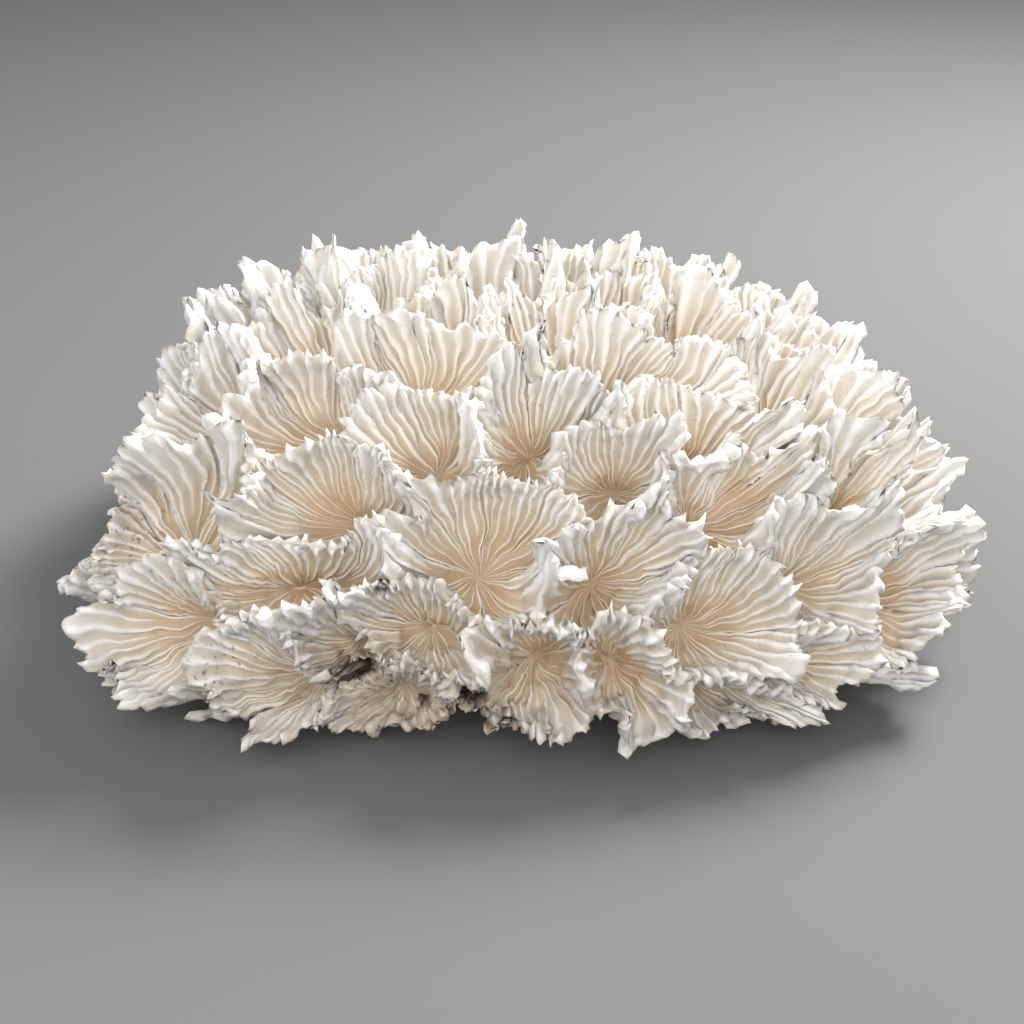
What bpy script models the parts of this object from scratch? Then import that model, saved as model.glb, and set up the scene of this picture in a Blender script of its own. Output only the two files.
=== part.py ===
"""Lettuce coral skeleton: a low dome of cups parted by tall thin ruffled walls, standing on its cut foot.

Units are metres, +Z is up, +X runs along the longest side and -Y is the side seen in the photograph.
"""

import math

import bmesh
import bpy
import numpy as np

# The solid heart of the colony, a low dome that carries every wall
CORE_HALF_WIDTH = 0.157
CORE_HALF_DEPTH = 0.117
CORE_RISE = 0.073
CORE_DROP = 0.042
CORE_MIDDLE_HEIGHT = 0.035
HEART_HEIGHT = 0.047
PROFILE_POWER = 3.2
UNDER_POWER = 2.4
PLAN_POWER = 3.0
TAPER = 0.20

# Bulges of the dome's plan: azimuth in degrees, share of the radius, width in degrees
PLAN_BULGES = (
    (-177.0, -0.14, 30.0),
    (-132.0, 0.13, 17.0),
    (38.0, -0.11, 28.0),
    (-12.0, 0.03, 26.0),
    (-42.0, 0.03, 16.0),
    (-90.0, 0.02, 24.0),
)

# The walls between the cups
WALL_HEIGHT = 0.037
RIM_HALF_THICKNESS = 0.0012
FLANK_POWER = 0.44
RUFFLE = 0.0012
RUFFLE_LENGTH = 0.030
SPREAD_DEPTH = 0.100
UPRIGHT_FROM = -0.42
UPRIGHT_TO = 0.32
MEANDER = 0.030
CUP_SPACING = 0.029
SEEN_CUP_SPACING = 0.044
SEEN_SIDE_FROM = -0.030
FOOT_CUP_SPACING = 0.055
EVENING_ROUNDS = 6
HALF_WALL_STEPS = 2
FLANK_ROWS = (0.0, 0.20, 1.0)

# The cut between two lobes
LOBE_GAP = 0.0003

# The whole piece moves by this much, which puts the origin under the middle of its box
TO_MIDDLE = (-0.0057, 0.0006)

# Cup middles on the seen side: azimuth round the dome and tilt from its top, in degrees
CUPS = {
    "left_foot": (-130, 113),
    "left_skirt": (-124, 120),
    "left_low": (-145, 101),
    "left_edge": (-161, 92),
    "left_scoop": (-117, 97),
    "great_left": (-133, 77),
    "left_lip": (-128, 89),
    "left_knuckle": (-119, 80),
    "low_pocket": (-107, 102),
    "under_knuckle": (-109, 92),
    "foot_pocket": (-97, 111),
    "mid_low": (-101, 89),
    "mid_deep": (-94, 77),
    "ridge_foot": (-88, 98),
    "round_cup": (-78, 79),
    "front_nose": (-80, 113),
    "right_foot_fan": (-68, 104),
    "nose_right": (-77, 96),
    "right_fold": (-71, 60),
    "small_swirl": (-58, 52),
    "side_swirl": (-61, 67),
    "scallop": (-54, 82),
    "swirl_foot": (-66, 87),
    "low_scallop": (-59, 98),
    "great_right": (-39, 73),
    "right_shelf": (-50, 108),
    "shelf_top": (-43, 89),
    "right_shelf_low": (-33, 102),
    "right_shelf_back": (-19, 101),
    "right_rim": (-12, 84),
    "right_shoulder": (-37, 54),
    "right_crown": (-18, 37),
    "right_mid": (-29, 63),
    "right_top": (9, 68),
    "upper_right": (30, 32),
    "centre_fan": (-85, 49),
    "centre_right": (-62, 36),
    "centre_left": (-105, 56),
    "knuckle_top": (-115, 67),
    "mid_wall": (-124, 47),
    "valley": (-112, 34),
    "top_middle": (-78, 19),
    "left_cream": (-151, 56),
    "left_crown": (-163, 38),
    "left_wall": (-163, 74),
    "upper_mid": (-150, 13),
    "top_left": (175, 26),
    "left_shoulder": (176, 57),
    "left_top": (165, 41),
    "upper_left": (152, 68),
    "back_left": (148, 52),
    "top_back": (110, 25),
    "top_right": (20, 20),
    "back_right": (33, 50),
}

# Walls that are lower or taller than the rest, as a share of the full height
WALL_SHARES = {
    ("great_left", "left_lip"): 0.75,
    ("great_left", "left_knuckle"): 0.90,
    ("great_left", "left_cream"): 1.30,
    ("great_left", "mid_wall"): 1.20,
    ("great_left", "left_wall"): 1.00,
    ("great_left", "left_low"): 0.65,
    ("great_left", "left_edge"): 0.70,
    ("left_lip", "left_knuckle"): 0.35,
    ("left_lip", "left_scoop"): 0.70,
    ("left_foot", "left_scoop"): 0.60,
    ("left_foot", "left_low"): 0.70,
    ("mid_low", "mid_deep"): 0.55,
    ("mid_low", "under_knuckle"): 0.45,
    ("mid_deep", "ridge_foot"): 0.50,
    ("mid_deep", "round_cup"): 1.15,
    ("mid_deep", "centre_left"): 0.50,
    ("low_pocket", "foot_pocket"): 0.65,
    ("great_left", "knuckle_top"): 1.10,
    ("knuckle_top", "left_knuckle"): 0.60,
    ("knuckle_top", "mid_deep"): 0.55,
    ("scallop", "swirl_foot"): 0.80,
    ("round_cup", "swirl_foot"): 1.05,
    ("scallop", "shelf_top"): 0.85,
    ("great_right", "right_mid"): 1.20,
    ("centre_fan", "valley"): 1.10,
    ("centre_fan", "centre_right"): 1.00,
    ("centre_left", "valley"): 0.55,
    ("centre_left", "mid_wall"): 0.90,
    ("mid_wall", "valley"): 0.80,
    ("round_cup", "side_swirl"): 0.90,
    ("round_cup", "right_fold"): 1.05,
    ("left_top", "left_crown"): 1.15,
    ("left_top", "top_left"): 1.35,
    ("left_top", "back_left"): 1.15,
    ("left_top", "left_shoulder"): 1.05,
    ("left_shoulder", "upper_left"): 1.10,
    ("scallop", "great_right"): 1.15,
    ("scallop", "side_swirl"): 1.00,
    ("scallop", "low_scallop"): 0.70,
    ("great_right", "right_shoulder"): 1.25,
    ("great_right", "right_rim"): 1.15,
    ("right_shoulder", "right_crown"): 1.15,
    ("right_shoulder", "small_swirl"): 0.90,
}

# The directions of the main forks: azimuth and tilt from the top, in degrees
LOBES = {
    "lobe_front_left": (-127, 91),
    "lobe_left": (-163, 86),
    "lobe_left_crown": (-160, 42),
    "lobe_front": (-94, 88),
    "lobe_centre": (-76, 36),
    "lobe_front_right": (-57, 88),
    "lobe_right": (-14, 84),
    "lobe_right_crown": (2, 42),
    "lobe_back": (95, 50),
    "lobe_back_left": (135, 85),
    "lobe_back_right": (48, 85),
}
CUT_BASE = "cut_base"

# The cut foot: a middle point and a ring of points round it, all on the flat
FOOT_RING_CUPS = 7
FOOT_RING_TURN = 20.0
FOOT_RING_TILT = 141.0
FIRST_FOOT = len(CUPS)
FIRST_UNNAMED = FIRST_FOOT + 1 + FOOT_RING_CUPS


def direction(azimuth, tilt):
    """The unit direction at an azimuth round the dome and a tilt from its top, both in degrees."""
    a = math.radians(azimuth)
    t = math.radians(tilt)
    return np.array([math.sin(t) * math.cos(a), math.sin(t) * math.sin(a), math.cos(t)])


def unit(v):
    return v / np.maximum(np.linalg.norm(v, axis=-1, keepdims=True), 1e-12)


def rounded(angle):
    """How far out and how high the core's outline is at an angle from its top, from 0 to 1 and 1 to -1."""
    out = np.abs(np.sin(angle))
    high = np.cos(angle)
    power = np.where(high > 0.0, PROFILE_POWER, UNDER_POWER)
    size = (out**power + np.abs(high) ** power) ** (1.0 / power)
    return out / size * (1.0 - TAPER * np.maximum(high / size, 0.0)), high / size


def meridian():
    """The core's outline from its top to its underside: each point's angle, at even steps of arc length."""
    angle = np.linspace(0.0, math.pi, 721)
    radius = 0.5 * (CORE_HALF_WIDTH + CORE_HALF_DEPTH)
    out, high = rounded(angle)
    high = high * np.where(high > 0.0, CORE_RISE, CORE_DROP)
    step = np.hypot(radius * np.diff(out), np.diff(high))
    length = np.concatenate([[0.0], np.cumsum(step)])
    return np.interp(np.linspace(0.0, length[-1], 721), length, angle)


MERIDIAN = meridian()


def core(u):
    """The point of the solid heart in the direction u, with the foot cut flat at z = 0."""
    azimuth = np.degrees(np.arctan2(u[..., 1], u[..., 0]))
    tilt = np.arccos(np.clip(u[..., 2], -1.0, 1.0))
    out, high = rounded(np.interp(tilt, np.linspace(0.0, math.pi, 721), MERIDIAN))
    ring = np.maximum(np.hypot(u[..., 0], u[..., 1]), 1e-9)
    along = np.abs(u[..., :2] / ring[..., None])
    plan = np.maximum(np.sum(along**PLAN_POWER, axis=-1), 1e-3) ** (-1.0 / PLAN_POWER)
    for middle, share, width in PLAN_BULGES:
        away = (azimuth - middle + 180.0) % 360.0 - 180.0
        plan = plan + share * np.exp(-((away / width) ** 2)) * out**2
    z = CORE_MIDDLE_HEIGHT + np.where(high > 0.0, CORE_RISE, CORE_DROP) * high
    x = CORE_HALF_WIDTH * plan * out * u[..., 0] / ring
    y = CORE_HALF_DEPTH * plan * out * u[..., 1] / ring
    return np.stack([x, y, np.maximum(z, 0.0)], axis=-1)


def waves(p, length, seed, count=6):
    """A smooth field between about -1 and 1: plane waves of one length in seeded directions."""
    rng = np.random.default_rng(seed)
    ways = unit(rng.normal(size=(count, 3)))
    sizes = rng.uniform(0.75, 1.35, count)
    starts = rng.uniform(0.0, math.tau, count)
    total = np.zeros(p.shape[:-1])
    for way, size, start in zip(ways, sizes, starts):
        total = total + np.sin(p @ way * (math.tau * size / length) + start)
    return total / math.sqrt(count)


def meander(u):
    """Bends every wall line a little, so that no two cups have straight sides."""
    shift = np.stack([waves(u, 0.5, 11), waves(u, 0.5, 12), waves(u, 0.5, 13)], axis=-1)
    return unit(u + MEANDER * shift)


def all_cups():
    """The named cups, then more wherever the widest gap is left, mostly on the unseen sides."""
    found = [direction(*place) for place in CUPS.values()]
    found.append(direction(0.0, 180.0))
    for k in range(FOOT_RING_CUPS):
        found.append(direction(FOOT_RING_TURN + 360.0 * k / FOOT_RING_CUPS, FOOT_RING_TILT))
    count = 900
    k = np.arange(count) + 0.5
    z = 1.0 - 2.0 * k / count
    turn = k * math.pi * (3.0 - math.sqrt(5.0))
    ring = np.sqrt(1.0 - z * z)
    tries = np.stack([ring * np.cos(turn), ring * np.sin(turn), z], axis=-1)
    places = core(tries)
    spacing = np.where(places[:, 1] < SEEN_SIDE_FROM, SEEN_CUP_SPACING, CUP_SPACING)
    spacing = np.where(tries[:, 2] < -0.45, FOOT_CUP_SPACING, spacing)
    while True:
        have = core(np.array(found))
        gap = np.linalg.norm(places[:, None] - have[None], axis=-1).min(axis=1) / spacing
        widest = int(gap.argmax())
        if gap[widest] < 1.0:
            return even_out(np.array(found))
        found.append(tries[widest])


def even_out(cups):
    """Moves the unnamed cups towards the middle of their neighbours, so that no three stand in a line."""
    for _ in range(EVENING_ROUNDS):
        around = [set() for _ in cups]
        for corners in neighbours(cups):
            for cup in corners:
                around[cup] |= set(corners) - {cup}
        moved = cups.copy()
        for cup in range(FIRST_UNNAMED, len(cups)):
            moved[cup] = unit(cups[cup] + unit(cups[sorted(around[cup])].mean(axis=0)))
        cups = moved
    return cups


def neighbours(cups):
    """Triangles of neighbouring cups, from the convex hull of their directions, facing out."""
    bm = bmesh.new()
    points = [bm.verts.new(tuple(cup)) for cup in cups]
    order = {point: index for index, point in enumerate(points)}
    bmesh.ops.convex_hull(bm, input=bm.verts)
    found = []
    for face in bm.faces:
        corners = [order[point] for point in face.verts]
        a, b, c = (cups[i] for i in corners)
        if np.dot(np.cross(b - a, c - a), a + b + c) < 0.0:
            corners.reverse()
        found.append(tuple(corners))
    bm.free()
    return sorted(found)


def slerp(a, b, t):
    """Directions from a to b along the shorter arc, for an array of shares t."""
    angle = np.arccos(np.clip(np.sum(a * b, axis=-1), -1.0, 1.0))
    angle = np.maximum(angle, 1e-6)[..., None]
    t = t[..., None]
    return (np.sin((1.0 - t) * angle) * a + np.sin(t * angle) * b) / np.sin(angle)


def seeded(key, low, high):
    """One number between low and high that always goes with the same key."""
    mixed = math.sin(key * 12.9898 + 4.1414) * 43758.5453
    return low + (high - low) * (mixed - math.floor(mixed))


class Walls:
    """Where every wall stands: its ends, its middle, its height, its lean and its tilt."""

    def __init__(self):
        self.cups = all_cups()
        self.triangles = neighbours(self.cups)
        names = list(CUPS)
        self.shares = {}
        for (a, b), share in WALL_SHARES.items():
            self.shares[frozenset((names.index(a), names.index(b)))] = share
        self.knots = []
        for a, b, c in self.triangles:
            pa, pb, pc = self.cups[a], self.cups[b], self.cups[c]
            knot = unit(np.cross(pb - pa, pc - pa))
            self.knots.append(unit(0.1 * knot + 0.9 * unit(pa + pb + pc)))
        self.sides = {}
        for t, corners in enumerate(self.triangles):
            for k in range(3):
                self.sides.setdefault(frozenset((corners[k], corners[(k + 1) % 3])), []).append(t)
        self.middles = {}
        for pair, (first, second) in self.sides.items():
            a, b = sorted(pair)
            half = unit(self.cups[a] + self.cups[b])
            self.middles[pair] = unit(half + 0.04 * (self.knots[first] + self.knots[second]))

    def height_share(self, pair):
        a, b = sorted(pair)
        if pair in self.shares:
            return self.shares[pair]
        return seeded(a * 7.0 + b * 3.0, 0.66, 1.16)

    def tilt(self, pair):
        a, b = sorted(pair)
        return seeded(a * 5.0 + b * 11.0, -0.28, 0.28)


def fade_below(u):
    """1 on the dome, down to 0 under its edge, where the foot has no walls."""
    t = np.clip((u[..., 2] + 0.58) / 0.22, 0.0, 1.0)
    return t * t * (3.0 - 2.0 * t)


def outward(u, place):
    """The way a wall rises: nearly upright on the top, spreading more and more towards the foot."""
    t = np.clip((u[..., 2] - UPRIGHT_FROM) / (UPRIGHT_TO - UPRIGHT_FROM), 0.0, 1.0)
    spread = CORE_MIDDLE_HEIGHT - (CORE_MIDDLE_HEIGHT + SPREAD_DEPTH) * t * t * (3.0 - 2.0 * t)
    source = np.stack([0.0 * spread, 0.0 * spread, spread], axis=-1)
    return unit(place - source)


def wall_line(walls, t, pair, steps):
    """The foot line of half a wall, from its knot to its middle, with the rise at each step."""
    share = np.linspace(0.0, 1.0, steps + 1)
    line = slerp(walls.knots[t], walls.middles[pair], share)
    knot_height = seeded(t * 13.0, 0.52, 0.84)
    blend = share * share * (3.0 - 2.0 * share)
    height = WALL_HEIGHT * (knot_height * (1.0 - blend) + walls.height_share(pair) * blend)
    a, b = sorted(pair)
    across = unit(walls.cups[b] - walls.cups[a])
    tilt = walls.tilt(pair) * blend
    return line, height * fade_below(line), across, tilt


def flank(walls, t, pair, cup, steps, rows):
    """One side of half a wall: points [step, row], from the rim at row 0 down to the cup's middle."""
    line, height, across, tilt = wall_line(walls, t, pair, steps)
    foot = core(meander(line))
    upward = outward(line, foot)
    rise = unit(upward + tilt[:, None] * across)
    rim = foot + height[:, None] * rise
    ruffle = np.stack([waves(rim, RUFFLE_LENGTH, seed) for seed in (21, 22, 23)], axis=-1)
    ruffle = ruffle - np.sum(ruffle * upward, axis=-1)[:, None] * upward
    ruffle = RUFFLE * ruffle * np.minimum(1.0, height / WALL_HEIGHT)[:, None]
    to_cup = unit(core(walls.cups[cup]) - foot)
    away = np.array(rows)[None, :]
    up = (1.0 - away**FLANK_POWER) ** (1.0 / FLANK_POWER)
    base = core(meander(slerp(line[:, None], walls.cups[cup], away + 0.0 * height[:, None])))
    points = base + (height[:, None] * up)[..., None] * rise[:, None]
    points = points + (up * up)[..., None] * ruffle[:, None]
    side = RIM_HALF_THICKNESS * np.minimum(1.0, 3.0 * (1.0 - away)) * (away > 0.0)
    side = side * fade_below(line)[:, None]
    return points + side[..., None] * to_cup[:, None]


def lobe_of(walls, t):
    """The lobe that the walls at a knot grow from, or the cut base if all its cups lie on the foot."""
    if all(FIRST_FOOT <= cup < FIRST_UNNAMED for cup in walls.triangles[t]):
        return CUT_BASE
    names = list(LOBES)
    ways = core(np.array([direction(*LOBES[name]) for name in names]))
    return names[int(np.linalg.norm(ways - core(walls.knots[t]), axis=-1).argmin())]


def patches(walls, members):
    """The members in groups that join each other across a wall, the largest group first."""
    left = set(members)
    found = []
    while left:
        group = []
        edge = [min(left)]
        left.discard(edge[0])
        while edge:
            t = edge.pop()
            group.append(t)
            corners = walls.triangles[t]
            for k in range(3):
                for other in walls.sides[frozenset((corners[k], corners[(k + 1) % 3]))]:
                    if other in left:
                        left.discard(other)
                        edge.append(other)
        found.append(group)
    return sorted(found, key=len, reverse=True)


def split_at_forks(walls):
    """The knots of each lobe. A lobe is one patch, and meets itself at no cup from two sides."""
    lobe = [lobe_of(walls, t) for t in range(len(walls.knots))]
    for _ in range(60):
        loose = []
        for name in [*LOBES, CUT_BASE]:
            members = [t for t in range(len(lobe)) if lobe[t] == name]
            for group in patches(walls, members)[1:]:
                loose.extend(group)
            for cup in range(len(walls.cups)):
                fan = [t for t in members if cup in walls.triangles[t]]
                groups = patches(walls, fan)
                if len(groups) > 1:
                    loose.extend(groups[-1])
        if not loose:
            break
        t = loose[0]
        corners = walls.triangles[t]
        near = []
        for k in range(3):
            for other in walls.sides[frozenset((corners[k], corners[(k + 1) % 3]))]:
                if lobe[other] != lobe[t]:
                    near.append(lobe[other])
        lobe[t] = max(sorted(set(near)), key=near.count)
    members = {}
    for t, name in enumerate(lobe):
        members.setdefault(name, []).append(t)
    return members


def new_object(name, points, faces):
    """A named object from points and faces, made through a bmesh that closes up shared points."""
    bm = bmesh.new()
    verts = [bm.verts.new(tuple(point)) for point in points]
    for face in faces:
        if len(set(face)) == 3:
            bm.faces.new([verts[i] for i in face])
    mesh = bpy.data.meshes.new(name)
    bm.to_mesh(mesh)
    bm.free()
    obj = bpy.data.objects.new(name, mesh)
    bpy.context.scene.collection.objects.link(obj)
    return obj


class Shell:
    """Points and faces of one lobe, each point kept once under its own key."""

    def __init__(self):
        self.points = []
        self.index = {}
        self.faces = []

    def point(self, key, place):
        if key not in self.index:
            self.index[key] = len(self.points)
            self.points.append(np.array(place, dtype=float))
        return self.index[key]

    def quad(self, a, b, c, d):
        self.faces.append((a, b, c))
        self.faces.append((a, c, d))


def into_lobe(walls, pair, t):
    """The direction across the cut between two cups, towards the third cup of triangle t."""
    corners = walls.triangles[t]
    third = next(k for k in range(3) if corners[k] not in pair)
    a, b = (core(meander(walls.cups[corners[(third + step) % 3]])) for step in (1, 2))
    heart = np.array([0.0, 0.0, HEART_HEIGHT])
    return unit(np.cross(0.5 * (a + b) - heart, b - a))


def build_lobe(walls, name, members, steps, rows):
    """One lobe: both flanks of each of its half walls, closed through the heart of the dome."""
    shell = Shell()
    inside = set(members)
    last = len(rows) - 1
    columns = {}
    for t in members:
        corners = walls.triangles[t]
        for k in range(3):
            pair = frozenset((corners[k], corners[(k + 1) % 3]))
            for cup in (corners[k], corners[(k + 1) % 3]):
                grid = flank(walls, t, pair, cup, steps, rows)
                others = [o for o in walls.sides[pair] if o != t]
                cut = others[0] not in inside
                if cut:
                    grid[-1, :last] += LOBE_GAP * into_lobe(walls, pair, t)
                ids = np.zeros((steps + 1, last + 1), dtype=int)
                for s in range(steps + 1):
                    for r in range(last + 1):
                        if r == last:
                            key = ("cup", cup)
                        elif s == 0:
                            key = ("knot", t) if r == 0 else ("knot", t, cup, r)
                        elif s == steps:
                            key = ("middle", pair) if r == 0 else ("middle", pair, cup, r)
                        else:
                            key = (t, pair, s) if r == 0 else (t, pair, cup, s, r)
                        ids[s, r] = shell.point(key, grid[s, r])
                # Seen from outside, the corner that comes first lies on the left of its wall.
                left = cup == corners[k]
                for s in range(steps):
                    for r in range(last):
                        quad = (ids[s, r], ids[s, r + 1], ids[s + 1, r + 1], ids[s + 1, r])
                        shell.quad(*(quad if left else quad[::-1]))
                if cut:
                    columns[(t, pair, left)] = ids[-1]
    # Each cup middle on the cut moves into its own lobe, clear of the two cut faces that meet there.
    heart = np.array([0.0, 0.0, HEART_HEIGHT])
    meeting = {}
    for t, pair, left in columns:
        column = columns[(t, pair, left)]
        near = shell.points[column[last - 1]] - heart
        middle = shell.points[column[last]] - heart
        face = np.cross(near, middle) if left else np.cross(middle, near)
        meeting.setdefault(int(column[last]), []).append(unit(-face))
    for point, (one, two) in meeting.items():
        shift = (one + two) / max(1.0 + float(one @ two), 0.15)
        shell.points[point] = shell.points[point] + LOBE_GAP * shift
    heart_id = shell.point(("heart",), heart)
    for t, pair, left in [key for key in columns if key[2]]:
        one = columns[(t, pair, True)]
        two = columns[(t, pair, False)]
        # A wall is closed straight across, down to where its flanks run out. The rest runs to the heart.
        start = last - 1 if float(fade_below(walls.middles[pair])) > 0.05 else 0
        if start > 0:
            shell.faces.append((one[0], one[1], two[1]))
            shell.faces.append((one[start], heart_id, two[start]))
        # Both lobes at a cut part each four-cornered piece of it along the same diagonal.
        first = walls.triangles[t].index(min(pair))
        turned = walls.triangles[t][(first + 1) % 3] != max(pair)
        for r in range(1, start):
            if turned:
                shell.quad(one[r + 1], two[r + 1], two[r], one[r])
            else:
                shell.quad(one[r], one[r + 1], two[r + 1], two[r])
        for r in range(start, last):
            shell.faces.append((one[r], one[r + 1], heart_id))
            shell.faces.append((two[r + 1], two[r], heart_id))
    points = np.array(shell.points)
    points[:, 2] = np.maximum(points[:, 2], 0.0)
    points[:, :2] += np.array(TO_MIDDLE)
    return new_object(name, points, shell.faces)


def coral_material(name, colour, roughness):
    made = bpy.data.materials.new(name)
    made.use_nodes = True
    shader = next(node for node in made.node_tree.nodes if node.type == "BSDF_PRINCIPLED")
    shader.inputs["Base Color"].default_value = (*colour, 1.0)
    shader.inputs["Roughness"].default_value = roughness
    shader.inputs["Metallic"].default_value = 0.0
    return made


def clear_scene():
    for obj in list(bpy.data.objects):
        bpy.data.objects.remove(obj)


def main():
    clear_scene()
    walls = Walls()
    members = split_at_forks(walls)
    for name in [*LOBES, CUT_BASE]:
        obj = build_lobe(walls, name, members[name], HALF_WALL_STEPS, FLANK_ROWS)
        colour = (0.60, 0.54, 0.45) if name == CUT_BASE else (0.80, 0.77, 0.71)
        obj.data.materials.append(coral_material(name + "_chalk", colour, 0.88))
        print(name, len(members[name]), "knots", len(obj.data.polygons), "faces")
    print(len(walls.cups), "cups", len(walls.triangles), "knots")


main()
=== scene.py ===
# %% [markdown]
# # A lettuce coral skeleton
# The real thing is the bleached skeleton of a stony coral, as wide as a large plate. It is a low dome
# covered in deep cups, and tall thin walls like petals part one cup from the next. Hundreds of fine ribs,
# the septa, run from the middle of each cup up the walls and over their rims.
#
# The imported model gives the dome, the walls and the cut foot in plain facets. This lesson grows the same
# walls again with all their ribs, gives each lobe its finish, and lights it as in the photograph.

import math

import bmesh
import bpy
import numpy as np
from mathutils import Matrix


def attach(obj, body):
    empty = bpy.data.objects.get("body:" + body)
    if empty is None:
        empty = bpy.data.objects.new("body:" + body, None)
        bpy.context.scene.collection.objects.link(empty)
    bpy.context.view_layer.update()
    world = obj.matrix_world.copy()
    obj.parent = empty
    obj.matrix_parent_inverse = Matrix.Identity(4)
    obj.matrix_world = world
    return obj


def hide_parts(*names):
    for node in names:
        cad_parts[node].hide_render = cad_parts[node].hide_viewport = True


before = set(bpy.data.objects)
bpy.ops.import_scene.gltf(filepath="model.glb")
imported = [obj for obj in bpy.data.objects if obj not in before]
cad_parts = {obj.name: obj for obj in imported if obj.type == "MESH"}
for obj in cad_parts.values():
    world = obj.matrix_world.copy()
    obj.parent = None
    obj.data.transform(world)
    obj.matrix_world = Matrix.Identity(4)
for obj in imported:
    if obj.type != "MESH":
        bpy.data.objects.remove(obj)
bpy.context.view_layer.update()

# %% [markdown]
# ## The camera
# The camera comes first, so that every later step can be looked at from the right place. The photograph
# looks down on the coral by 28 degrees from two thirds of a metre, with a slightly long lens.

# %% Place the camera
CAMERA_DISTANCE = 0.68
CAMERA_ELEVATION = math.radians(28.0)
CAMERA_TARGET = (-0.0057, -0.0194, 0.045)
LENS = 58.0

bpy.ops.object.select_all(action="DESELECT")
bpy.ops.object.camera_add(
    location=(
        CAMERA_TARGET[0],
        CAMERA_TARGET[1] - CAMERA_DISTANCE * math.cos(CAMERA_ELEVATION),
        CAMERA_TARGET[2] + CAMERA_DISTANCE * math.sin(CAMERA_ELEVATION),
    ),
    rotation=(math.pi / 2.0 - CAMERA_ELEVATION, 0.0, 0.0),
)
camera = bpy.context.object
camera.name = "specimen_camera"
camera.data.lens = LENS
camera.data.sensor_width = 36.0
camera.data.dof.use_dof = False
bpy.context.scene.camera = camera
print("camera at", tuple(round(value, 3) for value in camera.location))

# %% [markdown]
# ## The dome that carries the walls
# Every wall stands on a low dome. A direction from the middle of the dome names a place on it, so one unit
# vector is all that a cup needs. The dome's plan has a few soft bulges, and its foot is cut flat at z = 0.
#
# A sphere could be scaled to this shape, but a function that turns a direction into a point also tells
# every wall where its foot is. The table keeps equal steps of direction at equal steps along the surface.

# %% Measure the dome
CORE_HALF_WIDTH = 0.157
CORE_HALF_DEPTH = 0.117
CORE_RISE = 0.073
CORE_DROP = 0.042
CORE_MIDDLE_HEIGHT = 0.035
HEART_HEIGHT = 0.047
PROFILE_POWER = 3.2
UNDER_POWER = 2.4
PLAN_POWER = 3.0
TAPER = 0.20
OUTLINE_STEPS = 721

# Bulges of the dome's plan: azimuth in degrees, share of the radius, width in degrees
PLAN_BULGES = (
    (-177.0, -0.14, 30.0),
    (-132.0, 0.13, 17.0),
    (38.0, -0.11, 28.0),
    (-12.0, 0.03, 26.0),
    (-42.0, 0.03, 16.0),
    (-90.0, 0.02, 24.0),
)


def unit(v):
    return v / np.maximum(np.linalg.norm(v, axis=-1, keepdims=True), 1e-12)


def direction(azimuth, tilt):
    """The unit direction at an azimuth round the dome and a tilt from its top, both in degrees."""
    a = math.radians(azimuth)
    t = math.radians(tilt)
    return np.array([math.sin(t) * math.cos(a), math.sin(t) * math.sin(a), math.cos(t)])


def rounded(angle):
    """How far out and how high the dome's outline is at an angle from its top, from 0 to 1 and 1 to -1."""
    out = np.abs(np.sin(angle))
    high = np.cos(angle)
    power = np.where(high > 0.0, PROFILE_POWER, UNDER_POWER)
    size = (out**power + np.abs(high) ** power) ** (1.0 / power)
    return out / size * (1.0 - TAPER * np.maximum(high / size, 0.0)), high / size


def meridian():
    """The dome's outline from its top to its underside: each point's angle, at even steps of arc length."""
    angle = np.linspace(0.0, math.pi, OUTLINE_STEPS)
    radius = 0.5 * (CORE_HALF_WIDTH + CORE_HALF_DEPTH)
    out, high = rounded(angle)
    high = high * np.where(high > 0.0, CORE_RISE, CORE_DROP)
    step = np.hypot(radius * np.diff(out), np.diff(high))
    length = np.concatenate([[0.0], np.cumsum(step)])
    return np.interp(np.linspace(0.0, length[-1], OUTLINE_STEPS), length, angle)


MERIDIAN = meridian()


def core(u):
    """The point of the dome in the direction u, with the foot cut flat at z = 0."""
    azimuth = np.degrees(np.arctan2(u[..., 1], u[..., 0]))
    tilt = np.arccos(np.clip(u[..., 2], -1.0, 1.0))
    out, high = rounded(np.interp(tilt, np.linspace(0.0, math.pi, OUTLINE_STEPS), MERIDIAN))
    ring = np.maximum(np.hypot(u[..., 0], u[..., 1]), 1e-9)
    along = np.abs(u[..., :2] / ring[..., None])
    plan = np.maximum(np.sum(along**PLAN_POWER, axis=-1), 1e-3) ** (-1.0 / PLAN_POWER)
    for middle, share, width in PLAN_BULGES:
        away = (azimuth - middle + 180.0) % 360.0 - 180.0
        plan = plan + share * np.exp(-((away / width) ** 2)) * out**2
    z = CORE_MIDDLE_HEIGHT + np.where(high > 0.0, CORE_RISE, CORE_DROP) * high
    x = CORE_HALF_WIDTH * plan * out * u[..., 0] / ring
    y = CORE_HALF_DEPTH * plan * out * u[..., 1] / ring
    return np.stack([x, y, np.maximum(z, 0.0)], axis=-1)


print("the dome's top is at", np.round(core(direction(0.0, 0.0)), 4))

# %% [markdown]
# ## Irregular growth
# Nothing on a coral is straight. A sum of a few plane waves in seeded directions gives a smooth field that
# is the same on every run, and any point can ask for its value. The same helper bends the wall lines,
# ruffles the rims and roughens the surface, each at its own wavelength.

# %% Define the growth waves
MEANDER = 0.030
MEANDER_LENGTH = 0.5


def waves(p, length, seed, count=6):
    """A smooth field between about -1 and 1: plane waves of one length in seeded directions."""
    rng = np.random.default_rng(seed)
    ways = unit(rng.normal(size=(count, 3)))
    sizes = rng.uniform(0.75, 1.35, count)
    starts = rng.uniform(0.0, math.tau, count)
    total = np.zeros(p.shape[:-1])
    for way, size, start in zip(ways, sizes, starts):
        total = total + np.sin(p @ way * (math.tau * size / length) + start)
    return total / math.sqrt(count)


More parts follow.
